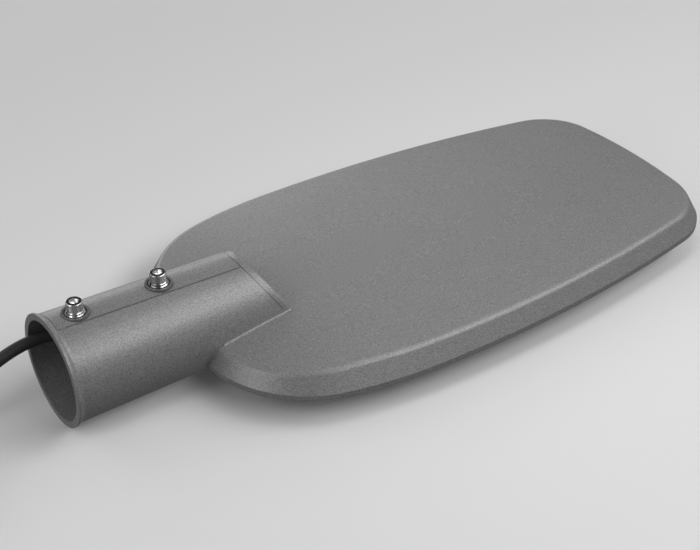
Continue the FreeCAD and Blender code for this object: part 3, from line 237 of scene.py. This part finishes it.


# Powder coat: its grey, and its grains, clouds and painted shade as shares of that grey
# Sizes of noise and depths of bump are in metres, here and in the other finishes.

COAT = 0.185
COAT_DARK_GRAIN = 0.62
COAT_LIGHT_GRAIN = 1.38
COAT_CLOUD = 1.25
COAT_PAINTED_SHADE = 0.2
COAT_GRAIN_SIZE = 0.0008
COAT_GRAIN_DEPTH = 0.00012
COAT_CLOUD_SIZE = 0.05
COAT_CLOUD_STRENGTH = 0.10
COAT_IOR = 1.6
NOISE_LOW = 0.3
NOISE_HIGH = 0.7


def uneven(paint, pattern, at_low, at_high):
    """Roughness that follows the pattern from at_low to at_high."""
    return paint.ramp(pattern, NOISE_LOW, NOISE_HIGH, at_low, at_high)


def powder_coat(name, with_painted_shade=False):
    """Dark grey fine-grain powder coat: a sandy surface of lighter and darker grains."""
    paint = Paint(name)
    grain = paint.noise(COAT_GRAIN_SIZE, detail=2.0, roughness=0.6)
    cloud = paint.noise(COAT_CLOUD_SIZE, detail=2.0)
    speckled = paint.mix(paint.spread(grain, low=0.36, high=0.64),
                         grey(COAT * COAT_DARK_GRAIN), grey(COAT * COAT_LIGHT_GRAIN))
    tint = paint.mix(paint.ramp(cloud, NOISE_LOW, NOISE_HIGH, 0.0, COAT_CLOUD_STRENGTH),
                     speckled, grey(COAT * COAT_CLOUD))
    if with_painted_shade:
        # Painted shade: dark lines in the step behind the tube's nose and along the strip's edges, and a dark
        # ring round each clamp screw's washer
        marks_and_painted_shade = [groove_shade(paint), paint.product(strip_shade(paint), STRIP_STRENGTH)]
        marks_and_painted_shade += [paint.product(seat_shade(paint, x), SEAT_STRENGTH) for x in CLAMP_SCREWS]
        for painted_shade in marks_and_painted_shade:
            tint = paint.mix(painted_shade, tint, grey(COAT * COAT_PAINTED_SHADE))
    relief = paint.noise(COAT_GRAIN_SIZE, detail=3.0, roughness=0.6)
    paint.set(Base_Color=tint, Roughness=uneven(paint, grain, at_low=0.50, at_high=0.42),
              Normal=paint.bump(relief, COAT_GRAIN_DEPTH, strength=0.6),
              Specular_IOR_Level=1.0, IOR=COAT_IOR)
    return paint.material


# Steel of the clamp screws and their washers
# The painted dark reflection ring lies on the head's top and reaches RING_DEPTH below it. Its sizes are in
# mm.

HEAD_TOPS = (42.25, 41.5)
RING_INSIDE = 2.9
RING_OUTSIDE = 4.4
RING_FADE = 0.2
RING_DEPTH = 0.9
RING_DEPTH_FADE = 0.3
REFLECTION_RING_GREY = 0.10
REFLECTION_STREAK_DARK = 0.45
REFLECTION_STREAK_LIGHT = 0.92
REFLECTION_STREAK_SIZE = 0.0028
TURNING_MARKS = 0.0006


def clamp_steel(name, x, head_top):
    """Stainless steel of a clamp screw and its washers: painted reflection streaks on the sides, painted dark
    reflection ring on the head's top.
    """
    paint = Paint(name)
    # Painted reflection: dark and light upright streaks on the sides, standing in for the knurled head's
    # reflections
    reflection_streaks = paint.noise(REFLECTION_STREAK_SIZE, detail=1.0, place=paint.flat_place())
    tint = paint.mix(paint.spread(reflection_streaks, low=0.38, high=0.62), grey(REFLECTION_STREAK_DARK), grey(REFLECTION_STREAK_LIGHT))
    # Painted dark reflection: a ring on the head's top, reaching RING_DEPTH down from it
    away = paint.from_axis(x)
    reflection_ring = paint.product(paint.above(away, RING_INSIDE, RING_FADE),
                         paint.below(away, RING_OUTSIDE, RING_FADE),
                         paint.above(paint.split()[2], head_top - RING_DEPTH, RING_DEPTH_FADE))
    marks_and_painted_shade = paint.noise(TURNING_MARKS, detail=2.0)
    paint.set(Base_Color=paint.mix(reflection_ring, tint, grey(REFLECTION_RING_GREY)), Metallic=1.0,
              Roughness=uneven(paint, marks_and_painted_shade, at_low=0.20, at_high=0.30),
              Normal=paint.bump(marks_and_painted_shade, distance=0.00002, strength=0.4))
    return paint.material


# Other finishes

def steel(name, roughness):
    """Bright stainless steel with fine turning marks."""
    paint = Paint(name)
    marks_and_painted_shade = paint.noise(TURNING_MARKS, detail=2.0)
    tint = paint.mix(paint.noise(size=0.004), (0.74, 0.74, 0.75, 1.0), (0.90, 0.90, 0.89, 1.0))
    paint.set(Base_Color=tint, Metallic=1.0, Roughness=uneven(paint, marks_and_painted_shade, roughness, roughness + 0.1),
              Normal=paint.bump(marks_and_painted_shade, distance=0.00003, strength=0.5))
    return paint.material


def rubber(name, shade=0.022, roughness=0.5):
    """Black rubber with a faint bloom and a fine skin."""
    paint = Paint(name)
    bloom = paint.noise(size=0.012, detail=3.0)
    skin = paint.noise(size=0.0008, detail=3.0)
    tint = paint.mix(paint.spread(bloom, low=0.35, high=0.7), grey(shade), grey(shade * 1.7))
    paint.set(Base_Color=tint, Roughness=uneven(paint, bloom, roughness, roughness + 0.12),
              Normal=paint.bump(skin, distance=0.00005, strength=0.5))
    return paint.material


def plastic(name, colour, roughness=0.42):
    """Moulded plastic with a fine eroded skin."""
    paint = Paint(name)
    cloud = paint.noise(size=0.006, detail=3.0)
    skin = paint.noise(size=0.0007, detail=2.0)
    darker = tuple(channel * 0.88 for channel in colour)
    tint = paint.mix(paint.spread(cloud, low=0.35, high=0.65), (*darker, 1.0), (*colour, 1.0))
    paint.set(Base_Color=tint, Roughness=uneven(paint, cloud, roughness, roughness + 0.08),
              Normal=paint.bump(skin, distance=0.00003, strength=0.4))
    return paint.material


def clear_plastic(name):
    """Clear polycarbonate of the lens panel."""
    paint = Paint(name)
    haze = paint.noise(size=0.02, detail=2.0)
    tint = paint.mix(haze, (0.86, 0.89, 0.90, 1.0), (0.93, 0.95, 0.95, 1.0))
    paint.set(Base_Color=tint, Roughness=uneven(paint, haze, at_low=0.05, at_high=0.12),
              Transmission_Weight=0.85, IOR=1.4, Alpha=0.55)
    return paint.material


def board_white(name):
    """White solder mask, slightly cloudy, with a fine skin."""
    paint = Paint(name)
    cloud = paint.noise(size=0.01, detail=3.0)
    skin = paint.noise(size=0.0012)
    tint = paint.mix(cloud, (0.70, 0.71, 0.69, 1.0), (0.82, 0.82, 0.80, 1.0))
    paint.set(Base_Color=tint, Roughness=uneven(paint, cloud, at_low=0.32, at_high=0.45),
              Normal=paint.bump(skin, distance=0.00003, strength=0.4))
    return paint.material


def brass(name):
    """Brass with fine turning marks."""
    paint = Paint(name)
    marks_and_painted_shade = paint.noise(size=0.0012, detail=3.0)
    tint = paint.mix(marks_and_painted_shade, (0.62, 0.45, 0.18, 1.0), (0.78, 0.60, 0.27, 1.0))
    paint.set(Base_Color=tint, Metallic=1.0, Roughness=uneven(paint, marks_and_painted_shade, at_low=0.25, at_high=0.4),
              Normal=paint.bump(marks_and_painted_shade, distance=0.00003, strength=0.4))
    return paint.material


CORE_BROWN = (0.16, 0.07, 0.03)


def dress(material, *nodes):
    for node in nodes:
        slots = NODES[node].data.materials
        slots.clear()
        slots.append(material)


def dress_nodes():
    dress(powder_coat("housing_coat", with_painted_shade=True), "housing")
    dress(powder_coat("cover_coat"), "driver_cover")
    for place, x, head_top in zip(("mouth", "inner"), CLAMP_SCREWS, HEAD_TOPS):
        dress(clamp_steel(f"{place}_screw_steel", x, head_top),
              f"clamp_screw_{place}", f"flat_washer_{place}", f"spring_washer_{place}")
    dress(steel("small_screw_steel", roughness=0.3), "lens_panel_screws", "cover_screws", "driver_screws",
          "led_board_screws")
    dress(steel("driver_metal", roughness=0.4), "driver")
    dress(rubber("cable_rubber"), "cable_inner_end", "supply_cable", "supply_cable_coil")
    dress(rubber("seal_rubber", shade=0.03, roughness=0.6), "lens_gasket", "cover_gasket", "gland_seal")
    dress(clear_plastic("lens_clear"), "lens_panel")
    dress(board_white("board_mask"), "led_board")
    dress(plastic("phosphor", (0.82, 0.66, 0.16), roughness=0.3), "leds")
    dress(plastic("gland_black", (0.022, 0.022, 0.023)), "gland_body", "gland_cap", "gland_locknut",
          "breather_vent")
    dress(plastic("block_grey", (0.62, 0.62, 0.58)), "terminal_block")
    dress(brass("earth_brass"), "earth_screw")
    dress(plastic("core_brown", CORE_BROWN), "supply_cores", "driver_input_wires")
    dress(plastic("core_red", (0.45, 0.03, 0.03)), "led_wires")
    dress(plastic("tie_white", (0.7, 0.7, 0.66)), "coil_tie")
    dress(plastic("core_sleeves", CORE_BROWN), "core_ends")


# Supply cable, in mm: the route of the source, then the turns of its put-away coil

CABLE = 7.5
CABLE_ORDER = 3
CABLE_STEPS = 8
CABLE_ROUNDNESS = 8
FLOOR_LEVEL = -35.66
TIE = 0.9
LAY_LEVEL = FLOOR_LEVEL + TIE + CABLE / 2
COIL_CENTRE = Vector((-137, -22, LAY_LEVEL))
COIL_RADIUS = 40
COIL_STUB = 26
COIL_TURNS = 3
POINTS_PER_TURN = 16
ROUTE = [(76, 12, 0), (60, 12, 0), (41, 17.5, 2.5), (21, 23.5, 5.5), (1, 26.5, 6.5), (-20, 26.8, 1.5),
         (-39, 26, -8.5), (-57, 24, -19.5), (-77, 20, LAY_LEVEL + 3), (-95, 18, LAY_LEVEL),
         (-111, 18, LAY_LEVEL)]


def cable_points():
    points = [Vector(point) for point in ROUTE]
    points.append(COIL_CENTRE + Vector((COIL_STUB / 2, COIL_RADIUS, 0)))
    count = COIL_TURNS * POINTS_PER_TURN
    reach = COIL_RADIUS / math.cos(math.pi / POINTS_PER_TURN)
    for index in range(count):
        turned = math.pi / 2 + 2 * math.pi * (index + 0.5) / POINTS_PER_TURN
        rise = CABLE * (index + 0.5) / POINTS_PER_TURN
        points.append(COIL_CENTRE + Vector((reach * math.cos(turned), reach * math.sin(turned), rise)))
    top = COIL_CENTRE + Vector((0, COIL_RADIUS, CABLE * COIL_TURNS))
    points.append(top + Vector((-COIL_STUB / 2, 0, 0)))
    points.append(top + Vector((-COIL_STUB, 0, 0)))
    return [point * MM for point in points]


def add_spline(data, points):
    data.dimensions = "3D"
    spline = data.splines.new("NURBS")
    spline.points.add(len(points) - 1)
    for target, point in zip(spline.points, points):
        target.co = (*point, 1.0)
    spline.order_u = CABLE_ORDER
    spline.use_endpoint_u = True
    spline.resolution_u = CABLE_STEPS


def curve_length(points):
    data = bpy.data.curves.new("measure", "CURVE")
    add_spline(data, points)
    holder = bpy.data.objects.new("measure", data)
    mesh = bpy.data.meshes.new_from_object(holder)
    total = sum((mesh.vertices[edge.vertices[0]].co - mesh.vertices[edge.vertices[1]].co).length
                for edge in mesh.edges)
    bpy.data.objects.remove(holder)
    bpy.data.curves.remove(data)
    return total


def make_cable():
    points = cable_points()
    data = bpy.data.curves.new("supply_lead", "CURVE")
    add_spline(data, points)
    data.bevel_depth = CABLE / 2 * MM
    data.bevel_resolution = CABLE_ROUNDNESS
    data.use_fill_caps = True
    cable = bpy.data.objects.new("supply_lead", data)
    bpy.context.scene.collection.objects.link(cable)
    data.materials.append(bpy.data.materials["cable_rubber"])
    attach(cable, "root")
    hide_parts("supply_cable", "supply_cable_coil")
    length = curve_length(points)


# Small hollow fillet where the tube's sides run down onto the plate, in mm
# The tube's radius, its taper and the plate's crown are those of the solids.

TUBE_RADIUS = 34.13
TUBE_TAPER = 0.02054
CROWN_ALONG_RADIUS = 400
CROWN_ACROSS_RADIUS = 1000
CROWN_TOP = 4.2
CROWN_MIDDLE = 170
FOOT_START = 96.5
FOOT_END = 146.0
NOSE_START = 141.8
NOSE_STEP = 0.6
FOOT_RADIUS = 1.3
FOOT_STATIONS = 60
FOOT_ARC = 8
FOOT_SINK = 0.06


def tube_radius(x):
    step = NOSE_STEP if x > NOSE_START else 0.0
    return TUBE_RADIUS - TUBE_TAPER * x - step


def crown_level(x, y):
    """Height of the crown on the socket's side of its middle: an arc across, turned about a low axis."""
    turned = CROWN_ALONG_RADIUS + math.sqrt(CROWN_ACROSS_RADIUS ** 2 - y ** 2) - CROWN_ACROSS_RADIUS
    return CROWN_TOP - CROWN_ALONG_RADIUS + math.sqrt(turned ** 2 - (x - CROWN_MIDDLE) ** 2)


def foot_section(x, side):
    """Outline of the fillet at one station: the hollow arc, then a point inside the metal."""
    radius = tube_radius(x)
    level = crown_level(x, radius)
    rise = level + FOOT_RADIUS
    across = math.sqrt((radius + FOOT_RADIUS) ** 2 - rise ** 2)
    start = -math.pi + math.atan2(rise, across)
    end = -math.pi / 2
    outline = []
    for index in range(FOOT_ARC + 1):
        angle = start + (end - start) * index / FOOT_ARC
        outline.append((across + math.cos(angle) * (FOOT_RADIUS + FOOT_SINK),
                        rise + math.sin(angle) * (FOOT_RADIUS + FOOT_SINK)))
    outline.append((across - FOOT_RADIUS, level - 3 * FOOT_SINK))
    return [Vector((x, y * side, z)) * MM for y, z in outline]


def make_foot_fillet(name, side):
    mesh = bmesh.new()
    rings = []
    for index in range(FOOT_STATIONS + 1):
        x = FOOT_START + (FOOT_END - FOOT_START) * index / FOOT_STATIONS
        rings.append([mesh.verts.new(point) for point in foot_section(x, side)])
    for before, after in zip(rings, rings[1:]):
        count = len(before)
        for index in range(count):
            following = (index + 1) % count
            mesh.faces.new((before[index], before[following], after[following], after[index]))
    mesh.faces.new(rings[0])
    mesh.faces.new(rings[-1])
    bmesh.ops.recalc_face_normals(mesh, faces=mesh.faces)
    data = bpy.data.meshes.new(name)
    mesh.to_mesh(data)
    mesh.free()
    for face in data.polygons:
        face.use_smooth = len(face.vertices) == 4
    piece = bpy.data.objects.new(name, data)
    bpy.context.scene.collection.objects.link(piece)
    data.materials.append(bpy.data.materials["housing_coat"])
    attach(piece, "root")


# Floor and light, in metres and watts
# Each light has its name, place, target, size and power. The key lights the near side. The lights named
# glow are mirrored by the plate's top, and the one named front by the tube's nose.

FLOOR_SIZE = 14
FLOOR_GREY = 0.80
FLOOR_ROUGHNESS = 0.9
FLOOR_GLOSS = 0.1
WORLD_STRENGTH = 0.15
CENTRE = (0.2, 0.0, 0.0)
LIGHTS = [
    ("key", (0.95, -1.06, 1.18), CENTRE, (2.2, 0.5), 18.5),
    ("top", (0.30, -0.12, 0.36), (0.30, -0.12, 0.0), (0.3, 0.12), 0.30),
    ("back_high", (-0.7, 1.25, 1.0), CENTRE, (1.3, 1.1), 4),
    ("back_low", (0.5, 1.8, 0.25), CENTRE, (1.4, 0.35), 7),
    ("glow", (1.0, 1.1, 0.72), CENTRE, (0.5, 0.4), 0.8),
    ("glow_high", (0.95, 0.72, 1.08), CENTRE, (0.5, 0.4), 0.25),
    ("left", (-1.35, -0.12, 0.5), (0.05, 0.0, 0.0), (0.8, 0.6), 5),
    ("mouth", (-0.58, -0.1, 0.6), (0.02, 0.0, 0.0), (0.3, 0.3), 0.8),
    ("front", (1.24, 0.0, 0.89), (0.14, 0.0, 0.03), (0.5, 0.5), 1.2),
]


def make_floor():
    bpy.ops.mesh.primitive_plane_add(size=FLOOR_SIZE, location=(0, 0, FLOOR_LEVEL * MM))
    floor = bpy.context.object
    floor.name = "floor"
    material = bpy.data.materials.new("floor_paper")
    material.use_nodes = True
    shader = material.node_tree.nodes["Principled BSDF"]
    shader.inputs["Base Color"].default_value = grey(FLOOR_GREY)
    shader.inputs["Roughness"].default_value = FLOOR_ROUGHNESS
    shader.inputs["Specular IOR Level"].default_value = FLOOR_GLOSS
    floor.data.materials.append(material)
    floor.visible_diffuse = False
    floor.visible_glossy = False


def area_light(name, place, target, size, power):
    data = bpy.data.lights.new(name, "AREA")
    data.shape = "RECTANGLE"
    data.size, data.size_y = size
    data.energy = power
    light = bpy.data.objects.new(name, data)
    bpy.context.scene.collection.objects.link(light)
    light.location = place
    light.rotation_euler = (Vector(target) - Vector(place)).to_track_quat("-Z", "Y").to_euler()


def make_lights():
    world = bpy.data.worlds.new("studio")
    bpy.context.scene.world = world
    world.use_nodes = True
    background = world.node_tree.nodes["Background"]
    background.inputs["Color"].default_value = grey(1.0)
    background.inputs["Strength"].default_value = WORLD_STRENGTH
    for light in LIGHTS:
        area_light(*light)


make_camera()
dress_nodes()
make_cable()
make_foot_fillet("foot_fillet_right", -1)
make_foot_fillet("foot_fillet_left", 1)
make_floor()
make_lights()
bpy.context.scene.view_settings.view_transform = "Standard"
